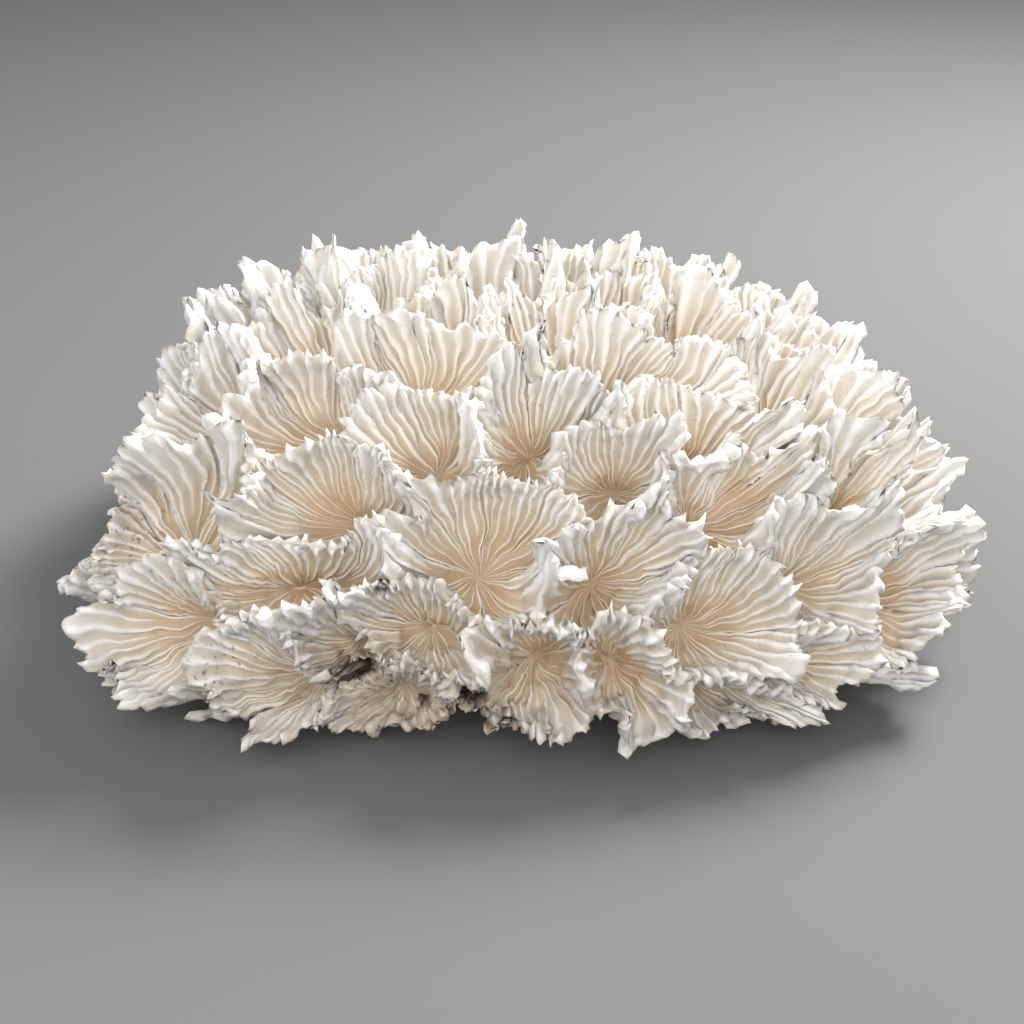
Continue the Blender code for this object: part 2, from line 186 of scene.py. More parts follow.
def wave_vector(p, length, seeds):
    """Three wave fields as one vector at each point."""
    return np.stack([waves(p, length, seed) for seed in seeds], axis=-1)


def meander(u):
    """Bends every wall line a little, so that no two cups have straight sides."""
    return unit(u + MEANDER * wave_vector(u, MEANDER_LENGTH, (11, 12, 13)))


def seeded(key, low, high):
    """One number between low and high that always goes with the same key."""
    mixed = math.sin(key * 12.9898 + 4.1414) * 43758.5453
    return low + (high - low) * (mixed - math.floor(mixed))


def smooth(low, high, value):
    """0 under low, 1 over high, with a soft step between."""
    t = np.clip((value - low) / (high - low), 0.0, 1.0)
    return t * t * (3.0 - 2.0 * t)


print("wave field at the top:", round(float(waves(direction(0.0, 0.0), MEANDER_LENGTH, 11)), 3))

# %% [markdown]
# ## Where the cups are
# Each cup is one mouth of the colony. The cups that the photograph shows are named and listed, as
# an azimuth round the dome and a tilt from its top. The unseen back is filled wherever a gap is left, and
# those cups are then evened out between their neighbours.

# %% List the cups and the heights of their walls
CUP_SPACING = 0.029
SEEN_CUP_SPACING = 0.044
SEEN_SIDE_FROM = -0.030
FOOT_CUP_SPACING = 0.055
EVENING_ROUNDS = 6
FOOT_RING_CUPS = 7
FOOT_RING_TURN = 20.0
FOOT_RING_TILT = 141.0
FOOT_BELOW = -0.45
PLACES_TRIED = 900

CUPS = {
    "left_foot": (-130, 113),
    "left_skirt": (-124, 120),
    "left_low": (-145, 101),
    "left_edge": (-161, 92),
    "left_scoop": (-117, 97),
    "great_left": (-133, 77),
    "left_lip": (-128, 89),
    "left_knuckle": (-119, 80),
    "low_pocket": (-107, 102),
    "under_knuckle": (-109, 92),
    "foot_pocket": (-97, 111),
    "mid_low": (-101, 89),
    "mid_deep": (-94, 77),
    "ridge_foot": (-88, 98),
    "round_cup": (-78, 79),
    "front_nose": (-80, 113),
    "right_foot_fan": (-68, 104),
    "nose_right": (-77, 96),
    "right_fold": (-71, 60),
    "small_swirl": (-58, 52),
    "side_swirl": (-61, 67),
    "scallop": (-54, 82),
    "swirl_foot": (-66, 87),
    "low_scallop": (-59, 98),
    "great_right": (-39, 73),
    "right_shelf": (-50, 108),
    "shelf_top": (-43, 89),
    "right_shelf_low": (-33, 102),
    "right_shelf_back": (-19, 101),
    "right_rim": (-12, 84),
    "right_shoulder": (-37, 54),
    "right_crown": (-18, 37),
    "right_mid": (-29, 63),
    "right_top": (9, 68),
    "upper_right": (30, 32),
    "centre_fan": (-85, 49),
    "centre_right": (-62, 36),
    "centre_left": (-105, 56),
    "knuckle_top": (-115, 67),
    "mid_wall": (-124, 47),
    "valley": (-112, 34),
    "top_middle": (-78, 19),
    "left_cream": (-151, 56),
    "left_crown": (-163, 38),
    "left_wall": (-163, 74),
    "upper_mid": (-150, 13),
    "top_left": (175, 26),
    "left_shoulder": (176, 57),
    "left_top": (165, 41),
    "upper_left": (152, 68),
    "back_left": (148, 52),
    "top_back": (110, 25),
    "top_right": (20, 20),
    "back_right": (33, 50),
}

# Walls that are lower or taller than the rest, as a share of the full height
WALL_SHARES = {
    ("great_left", "left_lip"): 0.75,
    ("great_left", "left_knuckle"): 0.90,
    ("great_left", "left_cream"): 1.30,
    ("great_left", "mid_wall"): 1.20,
    ("great_left", "left_wall"): 1.00,
    ("great_left", "left_low"): 0.65,
    ("great_left", "left_edge"): 0.70,
    ("left_lip", "left_knuckle"): 0.35,
    ("left_lip", "left_scoop"): 0.70,
    ("left_foot", "left_scoop"): 0.60,
    ("left_foot", "left_low"): 0.70,
    ("mid_low", "mid_deep"): 0.55,
    ("mid_low", "under_knuckle"): 0.45,
    ("mid_deep", "ridge_foot"): 0.50,
    ("mid_deep", "round_cup"): 1.15,
    ("mid_deep", "centre_left"): 0.50,
    ("low_pocket", "foot_pocket"): 0.65,
    ("great_left", "knuckle_top"): 1.10,
    ("knuckle_top", "left_knuckle"): 0.60,
    ("knuckle_top", "mid_deep"): 0.55,
    ("scallop", "swirl_foot"): 0.80,
    ("round_cup", "swirl_foot"): 1.05,
    ("scallop", "shelf_top"): 0.85,
    ("great_right", "right_mid"): 1.20,
    ("centre_fan", "valley"): 1.10,
    ("centre_fan", "centre_right"): 1.00,
    ("centre_left", "valley"): 0.55,
    ("centre_left", "mid_wall"): 0.90,
    ("mid_wall", "valley"): 0.80,
    ("round_cup", "side_swirl"): 0.90,
    ("round_cup", "right_fold"): 1.05,
    ("left_top", "left_crown"): 1.15,
    ("left_top", "top_left"): 1.35,
    ("left_top", "back_left"): 1.15,
    ("left_top", "left_shoulder"): 1.05,
    ("left_shoulder", "upper_left"): 1.10,
    ("scallop", "great_right"): 1.15,
    ("scallop", "side_swirl"): 1.00,
    ("scallop", "low_scallop"): 0.70,
    ("great_right", "right_shoulder"): 1.25,
    ("great_right", "right_rim"): 1.15,
    ("right_shoulder", "right_crown"): 1.15,
    ("right_shoulder", "small_swirl"): 0.90,
}

# The directions of the main forks: azimuth and tilt from the top, in degrees
LOBES = {
    "lobe_front_left": (-127, 91),
    "lobe_left": (-163, 86),
    "lobe_left_crown": (-160, 42),
    "lobe_front": (-94, 88),
    "lobe_centre": (-76, 36),
    "lobe_front_right": (-57, 88),
    "lobe_right": (-14, 84),
    "lobe_right_crown": (2, 42),
    "lobe_back": (95, 50),
    "lobe_back_left": (135, 85),
    "lobe_back_right": (48, 85),
}
CUT_BASE = "cut_base"
FIRST_FOOT = len(CUPS)
FIRST_UNNAMED = FIRST_FOOT + 1 + FOOT_RING_CUPS
print(len(CUPS), "named cups in", len(LOBES), "lobes")

# %% [markdown]
# ## Neighbouring cups
# A wall grows where two mouths meet. The convex hull of all cup directions joins each cup to its
# neighbours in triangles: every edge of the hull is one wall, and every triangle is a knot where three
# walls meet.

# %% Find the cups and their neighbours


def neighbours(cups):
    """Triangles of neighbouring cups, from the convex hull of their directions, facing out."""
    bm = bmesh.new()
    points = [bm.verts.new(tuple(cup)) for cup in cups]
    order = {point: index for index, point in enumerate(points)}
    bmesh.ops.convex_hull(bm, input=bm.verts)
    found = []
    for face in bm.faces:
        corners = [order[point] for point in face.verts]
        a, b, c = (cups[i] for i in corners)
        if np.dot(np.cross(b - a, c - a), a + b + c) < 0.0:
            corners.reverse()
        found.append(tuple(corners))
    bm.free()
    return sorted(found)


def even_out(cups):
    """Moves the unnamed cups towards the middle of their neighbours, so that no three stand in a line."""
    for _ in range(EVENING_ROUNDS):
        around = [set() for _ in cups]
        for corners in neighbours(cups):
            for cup in corners:
                around[cup] |= set(corners) - {cup}
        moved = cups.copy()
        for cup in range(FIRST_UNNAMED, len(cups)):
            moved[cup] = unit(cups[cup] + unit(cups[sorted(around[cup])].mean(axis=0)))
        cups = moved
    return cups


def all_cups():
    """The named cups, then more wherever the widest gap is left, mostly on the unseen sides."""
    found = [direction(*place) for place in CUPS.values()]
    found.append(direction(0.0, 180.0))
    for k in range(FOOT_RING_CUPS):
        found.append(direction(FOOT_RING_TURN + 360.0 * k / FOOT_RING_CUPS, FOOT_RING_TILT))
    k = np.arange(PLACES_TRIED) + 0.5
    z = 1.0 - 2.0 * k / PLACES_TRIED
    turn = k * math.pi * (3.0 - math.sqrt(5.0))
    ring = np.sqrt(1.0 - z * z)
    tries = np.stack([ring * np.cos(turn), ring * np.sin(turn), z], axis=-1)
    places = core(tries)
    spacing = np.where(places[:, 1] < SEEN_SIDE_FROM, SEEN_CUP_SPACING, CUP_SPACING)
    spacing = np.where(tries[:, 2] < FOOT_BELOW, FOOT_CUP_SPACING, spacing)
    while True:
        have = core(np.array(found))
        gap = np.linalg.norm(places[:, None] - have[None], axis=-1).min(axis=1) / spacing
        widest = int(gap.argmax())
        if gap[widest] < 1.0:
            return even_out(np.array(found))
        found.append(tries[widest])


cups = all_cups()
knots = neighbours(cups)
print(len(cups), "cups and", len(knots), "knots")

# %% [markdown]
# ## Where the walls run
# A wall runs from one knot to the next and passes between two cups. Half a wall, from its knot to its
# middle, is the unit that everything else is built from, because it belongs to one knot and so to one lobe.
# Each wall has its own height, and leans a little to one side.

# %% Lay out the walls
WALL_HEIGHT = 0.037
SPREAD_DEPTH = 0.100
UPRIGHT_FROM = -0.42
UPRIGHT_TO = 0.32
FADE_FROM = -0.36
FADE_TO = -0.58
WALL_SHARE_RANGE = (0.66, 1.16)
KNOT_SHARE_RANGE = (0.52, 0.84)
STEEPEST_TILT = 0.28

knot_ways = []
for a, b, c in knots:
    knot = unit(np.cross(cups[b] - cups[a], cups[c] - cups[a]))
    knot_ways.append(unit(0.1 * knot + 0.9 * unit(cups[a] + cups[b] + cups[c])))
sides = {}
for t, corners in enumerate(knots):
    for k in range(3):
        sides.setdefault(frozenset((corners[k], corners[(k + 1) % 3])), []).append(t)
middles = {}
for pair, (first, second) in sides.items():
    a, b = sorted(pair)
    middles[pair] = unit(unit(cups[a] + cups[b]) + 0.04 * (knot_ways[first] + knot_ways[second]))
cup_names = list(CUPS)
shares = {frozenset((cup_names.index(a), cup_names.index(b))): s for (a, b), s in WALL_SHARES.items()}


def slerp(a, b, t):
    """Directions from a to b along the shorter arc, for an array of shares t."""
    angle = np.arccos(np.clip(np.sum(a * b, axis=-1), -1.0, 1.0))
    angle = np.maximum(angle, 1e-6)[..., None]
    t = t[..., None]
    return (np.sin((1.0 - t) * angle) * a + np.sin(t * angle) * b) / np.sin(angle)


def height_share(pair):
    a, b = sorted(pair)
    return shares[pair] if pair in shares else seeded(a * 7.0 + b * 3.0, *WALL_SHARE_RANGE)


def wall_tilt(pair):
    a, b = sorted(pair)
    return seeded(a * 5.0 + b * 11.0, -STEEPEST_TILT, STEEPEST_TILT)


def fade_below(u):
    """1 on the dome, down to 0 under its edge, where the foot has no walls."""
    return smooth(FADE_TO, FADE_FROM, u[..., 2])


def outward(u, place):
    """The way a wall rises: nearly upright on the top, spreading more and more towards the foot."""
    t = smooth(UPRIGHT_FROM, UPRIGHT_TO, u[..., 2])
    spread = CORE_MIDDLE_HEIGHT - (CORE_MIDDLE_HEIGHT + SPREAD_DEPTH) * t
    source = np.stack([np.zeros_like(spread), np.zeros_like(spread), spread], axis=-1)
    return unit(place - source)


print(len(sides), "walls, from", round(min(shares.values()), 2), "of the full height up")

# %% [markdown]
# ## Which lobe a knot belongs to
# The imported model is split at its main forks, and each piece here stands where its node does. So the
# knots are shared out by the same rule: to the nearest fork, in one patch that meets itself at no cup.

# %% Share the knots out between the lobes
SHARING_ROUNDS = 60


def nearest_fork(t):
    if all(FIRST_FOOT <= cup < FIRST_UNNAMED for cup in knots[t]):
        return CUT_BASE
    ways = core(np.array([direction(*place) for place in LOBES.values()]))
    return list(LOBES)[int(np.linalg.norm(ways - core(knot_ways[t]), axis=-1).argmin())]


def patches(members):
    """The members in groups that join each other across a wall, the largest group first."""
    left = set(members)
    found = []
    while left:
        group = []
        edge = [min(left)]
        left.discard(edge[0])
        while edge:
            t = edge.pop()
            group.append(t)
            for k in range(3):
                for other in sides[frozenset((knots[t][k], knots[t][(k + 1) % 3]))]:
                    if other in left:
                        left.discard(other)
                        edge.append(other)
        found.append(group)
    return sorted(found, key=len, reverse=True)


def split_at_forks():
    """Each knot's lobe: the nearest fork's, then knots change sides until every lobe is one patch."""
    lobe = [nearest_fork(t) for t in range(len(knots))]
    for _ in range(SHARING_ROUNDS):
        loose = []
        for name in [*LOBES, CUT_BASE]:
            members = [t for t in range(len(lobe)) if lobe[t] == name]
            for group in patches(members)[1:]:
                loose.extend(group)
            for cup in range(len(cups)):
                groups = patches([t for t in members if cup in knots[t]])
                if len(groups) > 1:
                    loose.extend(groups[-1])
        if not loose:
            break
        t = loose[0]
        near = []
        for k in range(3):
            for other in sides[frozenset((knots[t][k], knots[t][(k + 1) % 3]))]:
                if lobe[other] != lobe[t]:
                    near.append(lobe[other])
        lobe[t] = max(sorted(set(near)), key=near.count)
    return lobe


lobe_of_knot = split_at_forks()
print({name: lobe_of_knot.count(name) for name in [*LOBES, CUT_BASE]})

# %% [markdown]
# ## One flank of half a wall
# A wall has two flanks. Each starts at the rim, drops steeply, and runs out flat in the middle of the cup
# on its side. The ribs stand across it: at each step along the rim one column of points goes down to the
# cup, and every sixth column rises into a rib.
#
# Two things are worked out for each point. The first is its place on the smooth wall. The second is how far
# it swells, which is added later along the surface normal, when the whole skin is welded.

# %% Shape a flank
RIM_HALF_THICKNESS = 0.0010
FLANK_POWER = 0.52
RUFFLE = 0.0062
RUFFLE_LENGTH = 0.027
RIB_PITCH = 0.0044
COLUMNS_PER_RIB = 6
ROWS = 22
RIB_HEIGHT = 0.0025
TOOTH_HEIGHT = 0.0020
CHIP_HEIGHT = 0.0010
CUP_DEPTH = 0.0060
CREST_HALF_WIDTH = 0.20
CREST_POWER = 0.8
ROW_POWER = 2.1

# Bites out of the rim, wide ones first: how deep, where they start and end in the waves, length and seed
BITES = ((0.13, 0.35, 1.2, 0.020, 31), (0.09, 0.3, 1.1, 0.008, 32))

# The eroded front foot: its azimuth and its width round the dome in degrees
WORN_AZIMUTH = -100.0
WORN_WIDTH = 19.0

ROW_SHARE = np.linspace(0.0, 1.0, ROWS + 1)
AWAY = ROW_SHARE**ROW_POWER


def rib_count(t, pair):
    """How many ribs half a wall carries, from the length of its foot."""
    ends = core(meander(np.array([knot_ways[t], middles[pair]])))
    return max(2, round(1.25 * float(np.linalg.norm(ends[1] - ends[0])) / RIB_PITCH))


def worn_share(u):
    """1 in the middle of the eroded front foot, down to 0 around it."""
    azimuth = np.degrees(np.arctan2(u[..., 1], u[..., 0]))
    return np.exp(-(((azimuth - WORN_AZIMUTH) / WORN_WIDTH) ** 2)) * smooth(0.06, -0.16, u[..., 2])


def shape_flank(t, pair, cup):
    """Points of one flank, each column from rim to cup, and what every point carries along."""
    ribs = rib_count(t, pair)
    share = np.linspace(0.0, 1.0, ribs * COLUMNS_PER_RIB + 1)
    line = slerp(knot_ways[t], middles[pair], share)
    blend = smooth(0.0, 1.0, share)
    height = seeded(t * 13.0, *KNOT_SHARE_RANGE) * (1.0 - blend) + height_share(pair) * blend
    fade = fade_below(line)
    foot = core(meander(line))
    for bite, start, end, length, seed in BITES:
        height = height * (1.0 - bite * smooth(start, end, waves(foot, length, seed)))
    height = WALL_HEIGHT * height * fade * (1.0 - 0.30 * worn_share(line))
    a, b = sorted(pair)
    upward = outward(line, foot)
    rise = unit(upward + (wall_tilt(pair) * blend)[:, None] * unit(cups[b] - cups[a]))
    rim = foot + height[:, None] * rise
    ruffle = wave_vector(rim, RUFFLE_LENGTH, (21, 22, 23))
    ruffle = ruffle - np.sum(ruffle * upward, axis=-1)[:, None] * upward
    ruffle = RUFFLE * ruffle * np.minimum(1.0, height / WALL_HEIGHT)[:, None]
    # Each rib has its own strength and its own tooth, and every second one dies out on the way down
    phase = ribs * share
    number = np.minimum(np.floor(phase), ribs - 1)
    within = phase - number
    key = t * 37.0 + (a + b) * 5.0
    strength = np.array([seeded(key + n * 1.7, 0.55, 1.20) for n in number])
    tooth = np.array([seeded(key + n * 2.9, -0.25, 1.0) for n in number])
    crest = np.clip(1.0 - np.abs(within - 0.5) / CREST_HALF_WIDTH, 0.0, 1.0) ** CREST_POWER * strength
    second = (number % 2 == 1)[:, None]
    up = (1.0 - AWAY**FLANK_POWER) ** (1.0 / FLANK_POWER)
    tooth = TOOTH_HEIGHT * (np.clip(crest, 0.0, 0.8) * tooth - 0.15)
    chips = waves(foot, 0.0040, 33) + 0.8 * waves(foot, 0.0019, 34)
    tooth = (tooth + CHIP_HEIGHT * chips) * fade
    lifted = height[:, None] * up + tooth[:, None] * (1.0 - smooth(0.0, 0.14, ROW_SHARE))
    way = slerp(line[:, None], cups[cup], np.broadcast_to(AWAY, (len(share), len(AWAY))))
    base = core(meander(way))
    # Cups are sunk a little more towards their middles, but not under the dome
    sunk = CUP_DEPTH * smooth(0.30, 1.0, AWAY) * fade_below(way)
    base = base - sunk[..., None] * unit(base - np.array((0.0, 0.0, HEART_HEIGHT)))
    to_cup = unit(core(cups[cup]) - foot)
    side = RIM_HALF_THICKNESS * np.minimum(1.0, 3.0 * (1.0 - AWAY)) * (AWAY > 0.0) * fade[:, None]
    points = base + lifted[..., None] * rise[:, None] + (up * up)[:, None] * ruffle[:, None]
    points = points + side[..., None] * to_cup[:, None]
    # A rib never stands out further than its neighbours leave room for
    step = np.linalg.norm(np.diff(points, axis=0), axis=-1)
    room = COLUMNS_PER_RIB * np.concatenate([step[:1], 0.5 * (step[1:] + step[:-1]), step[-1:]])
    fall = np.where(second, 1.0 - smooth(0.45, 0.75, ROW_SHARE), 1.0 - 0.4 * smooth(0.8, 1.0, ROW_SHARE))
    rib = crest[:, None] * fall * smooth(0.0, 0.05, ROW_SHARE)
    swell = np.minimum(RIB_HEIGHT, 0.60 * room) * rib * (0.25 + 0.75 * fade[:, None])
    lift = up * np.minimum(1.2, height / WALL_HEIGHT)[:, None]
    depth = np.broadcast_to(ROW_SHARE, lift.shape)
    return points, {"swell": swell, "lift": lift, "rib": rib, "depth": depth, "worn": worn_share(way)}


print("a wall has", 2 * rib_count(0, frozenset(knots[0][:2])), "ribs or so from knot to knot")

# %% [markdown]
# ## One sheet for the whole skin
# The skin is one grid, cut into strips. Each strip is a flank: its columns are the ribs and grooves, and its
# rows go down from the rim to the cup. The grid is added flat, the faces between one flank and the next are
# deleted, and each strip is then bent to the shape of its flank. Last, the points that meet are merged, so
# that the flanks weld into one closed skin.
#
# Sculpting would not repeat this well, and displacing a sphere can't give walls that stand upright.

# %% Add the grid and cut it into flanks
flanks = []
for t, corners in enumerate(knots):
    if lobe_of_knot[t] == CUT_BASE:
        continue
    for k in range(3):
        ahead = frozenset((corners[k], corners[(k + 1) % 3]))
        flanks.append((t, ahead, corners[k], True))
        flanks.append((t, ahead, corners[(k + 1) % 3], False))
widths = [rib_count(t, pair) * COLUMNS_PER_RIB + 1 for t, pair, _, _ in flanks]
columns = sum(widths)

bpy.ops.object.select_all(action="DESELECT")
bpy.ops.mesh.primitive_grid_add(x_subdivisions=columns - 1, y_subdivisions=ROWS, size=1.0)
skin = bpy.context.object
skin.name = "coral_skin"
grid = np.empty(len(skin.data.vertices) * 3)
skin.data.vertices.foreach_get("co", grid)
grid = grid.reshape(-1, 3)
column_of = np.rint((grid[:, 0] + 0.5) * (columns - 1)).astype(int)
row_of = np.rint((0.5 - grid[:, 1]) * ROWS).astype(int)
flank_of = np.repeat(np.arange(len(flanks)), widths)[column_of]
print(len(flanks), "flanks,", columns, "columns and", len(grid), "points")

# %% Bend every strip into its flank
shaped = [shape_flank(t, pair, cup) for t, pair, cup, _ in flanks]
places = np.concatenate([points for points, _ in shaped])[column_of, row_of]
skin.data.vertices.foreach_set("co", places.ravel())
for label in ("swell", "lift", "rib", "depth", "worn"):
    values = np.concatenate([carried[label] for _, carried in shaped])[column_of, row_of]
    layer = skin.data.attributes.new(label, "FLOAT", "POINT")
    layer.data.foreach_set("value", values)

corners_of_face = np.empty(len(skin.data.loops), dtype=int)
skin.data.loops.foreach_get("vertex_index", corners_of_face)
corners_of_face = corners_of_face.reshape(-1, 4)
between = flank_of[corners_of_face].min(axis=1) != flank_of[corners_of_face].max(axis=1)
face_flank = flank_of[corners_of_face[:, 0]]
lobe_names = list(LOBES)
for name in lobe_names:
    skin.data.materials.append(bpy.data.materials.new("part_" + name))
lobe_index = np.array([lobe_names.index(lobe_of_knot[t]) for t, _, _, _ in flanks])
skin.data.polygons.foreach_set("material_index", lobe_index[face_flank])
print(int(between.sum()), "faces lie between flanks")

# %% Weld the flanks together
WELD = 0.000002
turned = ~np.array([left for _, _, _, left in flanks])[face_flank] & ~between


def select_faces(piece, chosen):
    """Selects just these faces of a piece and goes into edit mode."""
    bpy.ops.object.mode_set(mode="EDIT")
    bpy.ops.mesh.select_mode(type="FACE")
    bpy.ops.mesh.select_all(action="DESELECT")
    bpy.ops.object.mode_set(mode="OBJECT")
    piece.data.polygons.foreach_set("select", chosen)
    bpy.ops.object.mode_set(mode="EDIT")


select_faces(skin, turned)
bpy.ops.mesh.flip_normals()
select_faces(skin, between)
bpy.ops.mesh.delete(type="FACE")
bpy.ops.mesh.select_all(action="SELECT")
bpy.ops.mesh.remove_doubles(threshold=WELD)
bpy.ops.object.mode_set(mode="OBJECT")
print("the welded skin has", len(skin.data.vertices), "points and", len(skin.data.polygons), "faces")

# %% [markdown]
# ## Raise the ribs
# The ribs are raised now, because only the welded skin has one normal at each point. Had each flank been
# raised by itself, its edge would part from the next flank's. A fine grain is added in the same step, as
# real chalky skeleton is never smooth, and the front foot, which is worn and bored, gets lumps and pits.

# %% Move the points along their normals
GRAIN = 0.00022
WAVER = 0.0006
WAVER_LENGTH = 0.011
TO_MIDDLE = (-0.0057, 0.0006)

# Lumps and pits of the worn front foot: wavelength and height
WORN_LUMPS = ((0.0110, 0.0016), (0.0048, 0.0010), (0.0026, 0.0006))

# Hollows of the front foot: a point on the skin, the radius, and how far they go in
HOLLOWS = (
    ((-0.0608, -0.1323, 0.0380), 0.0085, 0.020),
    ((-0.0221, -0.1326, 0.0268), 0.0085, 0.018),
    ((-0.0093, -0.1313, 0.0165), 0.0055, 0.012),
    ((-0.0522, -0.1270, 0.0715), 0.0030, 0.012),
    ((-0.0396, -0.1180, 0.0200), 0.0040, 0.008),
)
HOLLOW_WAY = np.array((0.0, 0.96, -0.28))

# Spots of rust-red growth, and the dusty places of the great left cup and the lower left: point and radius
RED_SPOTS = (
    ((-0.0667, -0.1343, 0.0378), 0.0022),
    ((-0.0148, -0.1261, 0.0149), 0.0024),
    ((-0.0053, -0.1355, 0.0184), 0.0026),
    ((-0.0300, -0.1290, 0.0120), 0.0022),
)
DUSTY_CORNERS = (((-0.1490, -0.0794, 0.0640), 0.022), ((-0.1130, -0.1270, 0.0400), 0.016))


def read(piece, label):
    """The values that a piece's points carry under one label."""
    values = np.empty(len(piece.data.vertices))
    piece.data.attributes[label].data.foreach_get("value", values)
    return values


places = np.empty(len(skin.data.vertices) * 3)
skin.data.vertices.foreach_get("co", places)
places = places.reshape(-1, 3)
normals = np.empty(len(skin.data.vertices) * 3)
skin.data.vertex_normals.foreach_get("vector", normals)
normals = normals.reshape(-1, 3)
worn = read(skin, "worn")
out = read(skin, "swell") * (1.0 - 0.55 * worn)
rough = 1.0 + 1.3 * (1.0 - smooth(0.02, 0.30, read(skin, "depth")))
out = out + GRAIN * rough * (waves(places, 0.0042, 41) + 0.7 * waves(places, 0.0021, 42))
for number, (length, height) in enumerate(WORN_LUMPS):
    out = out + height * worn * waves(places, length, 51 + number)
places = places + out[:, None] * normals
places = places + WAVER * wave_vector(places, WAVER_LENGTH, (61, 62, 63))
places[:, :2] += np.array(TO_MIDDLE)


def nearness(middle, radius):
    """1 close to a point on the skin and 0 away from it, with a ragged edge."""
    ragged = radius * (1.0 + 0.16 * waves(places, 0.006, 71))
    return np.exp(-((np.linalg.norm(places - np.array(middle), axis=-1) / ragged) ** 4))


hollow = np.zeros(len(places))
for middle, radius, inward in HOLLOWS:
    near = nearness(middle, radius)
    places = places + (inward * near)[:, None] * HOLLOW_WAY
    hollow = np.maximum(hollow, near)
red = np.max([nearness(*spot) for spot in RED_SPOTS], axis=0)
dusty = np.max([nearness(*corner) for corner in DUSTY_CORNERS], axis=0)
places[:, 2] = np.maximum(places[:, 2], 0.0)
for label, values in (("hollow", hollow), ("red", red), ("dusty", dusty)):
    layer = skin.data.attributes.new(label, "FLOAT", "POINT")
    layer.data.foreach_set("value", values)
skin.data.vertices.foreach_set("co", places.ravel())
skin.data.update()
print("the ribs stand out by up to", round(1000.0 * float(out.max()), 2), "mm")

# %% [markdown]
# ## Split the skin into its lobes
# Each lobe is a piece of its own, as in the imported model. The faces already carry the lobe's number as
# their material, so one operator parts them.
#
# A lobe cut from the skin is open along the cut. The cut runs over one wall after another, from cup to cup.
# Across a wall, the points of its two sides face each other in pairs, so a ladder of faces closes it. From
# there the faces run to one point in the heart of the dome. These faces are never seen, but they make each
# lobe a closed body.

# %% Part the lobes
bpy.ops.object.select_all(action="DESELECT")
skin.select_set(True)
bpy.context.view_layer.objects.active = skin
bpy.ops.mesh.separate(type="MATERIAL")
lobes = {}
for piece in list(bpy.context.selected_objects):
    name = piece.data.materials[0].name.removeprefix("part_")
    piece.name = name + "_ribbed"
    lobes[name] = piece
print({name: len(piece.data.polygons) for name, piece in lobes.items()})

# %% Close each lobe
LADDER_END = 9
LOWEST_WALL = 0.03
AT_CUP_MIDDLE = 0.999


def boundary_loop(bm):
    """The open edge of a lobe as a ring of points, starting at a cup middle."""
    depth_layer = bm.verts.layers.float["depth"]
    following = {}
    for edge in bm.edges:
        if edge.is_boundary:
            loop = edge.link_loops[0]
            # The closing faces run the other way along the edge than the skin does
            following[loop.link_loop_next.vert] = loop.vert
    start = next(vert for vert in following if vert[depth_layer] > AT_CUP_MIDDLE)
    ring = [start]
    while following[ring[-1]] is not start:
        ring.append(following[ring[-1]])
    return ring


def close_lobe(piece):
    """Closes a lobe along its cut, and returns how many walls were cut and how many edges stay open."""
    bm = bmesh.new()
    bm.from_mesh(piece.data)
    ring = boundary_loop(bm)
    heart = bm.verts.new((*TO_MIDDLE, HEART_HEIGHT))
    lift_layer = bm.verts.layers.float["lift"]
    walls_cut = len(ring) // (2 * ROWS)
    for k in range(walls_cut):
        chain = [ring[(2 * ROWS * k + i) % len(ring)] for i in range(2 * ROWS + 1)]
        made = []
        low = ROWS
        if chain[ROWS][lift_layer] > LOWEST_WALL:
            made.append(bm.faces.new((chain[ROWS - 1], chain[ROWS], chain[ROWS + 1])))
            for i in range(ROWS - 1, ROWS - 1 - LADDER_END, -1):
                far = 2 * ROWS - i
                made.append(bm.faces.new((chain[i - 1], chain[i], chain[far], chain[far + 1])))
            low = ROWS - 1 - LADDER_END
            made.append(bm.faces.new((chain[low], chain[2 * ROWS - low], heart)))
        for i in range(low):
            made.append(bm.faces.new((chain[i], chain[i + 1], heart)))
            made.append(bm.faces.new((chain[2 * ROWS - i - 1], chain[2 * ROWS - i], heart)))
        for face in made:
            face.smooth = False
    for vert in ring:
        for edge in vert.link_edges:
            if edge.other_vert(vert) in ring:
                edge.smooth = False
    open_edges = sum(1 for edge in bm.edges if not edge.is_manifold)
    bm.to_mesh(piece.data)
    bm.free()
    return walls_cut, open_edges


for name, piece in lobes.items():
    bpy.ops.object.select_all(action="DESELECT")
    piece.select_set(True)
    bpy.context.view_layer.objects.active = piece
    bpy.ops.object.shade_smooth()
    print(name, "is cut across %d walls and keeps %d open edges" % close_lobe(piece))

# %% [markdown]
# ## The finish of bleached coral
# Dead coral is chalk: matt, and never one colour. The rims are bleached white. The sides are a warm
# off-white, and the cups cream, partly their own tone and partly painted shade. The rib crests get a
# painted highlight, so the ribs look a little lighter than the grooves, and the grooves get painted shade,
# tan low down and brown deep in the cups. Rust-coloured stains and small dark specks are real marks, and
# the hollows of the worn foot get painted shade.
#
# The colour follows the shape, so it reads the values that every point carries: how high it stands on its
# wall, how much it belongs to a rib, and whether it is worn, hollow, red or dusty. Noise breaks them up. The
# grain is a group, because the cut foot uses it too.

# %% Build the shared grain


def new_group(name, inputs, outputs):
    """A shader node group with float inputs at their defaults, and its in and out nodes."""
    group = bpy.data.node_groups.new(name, "ShaderNodeTree")
    for label, value in inputs:
        socket = group.interface.new_socket(label, in_out="INPUT", socket_type="NodeSocketFloat")
        socket.default_value = value
    for label, kind in outputs:
        group.interface.new_socket(label, in_out="OUTPUT", socket_type=kind)
    return group, group.nodes.new("NodeGroupInput"), group.nodes.new("NodeGroupOutput")


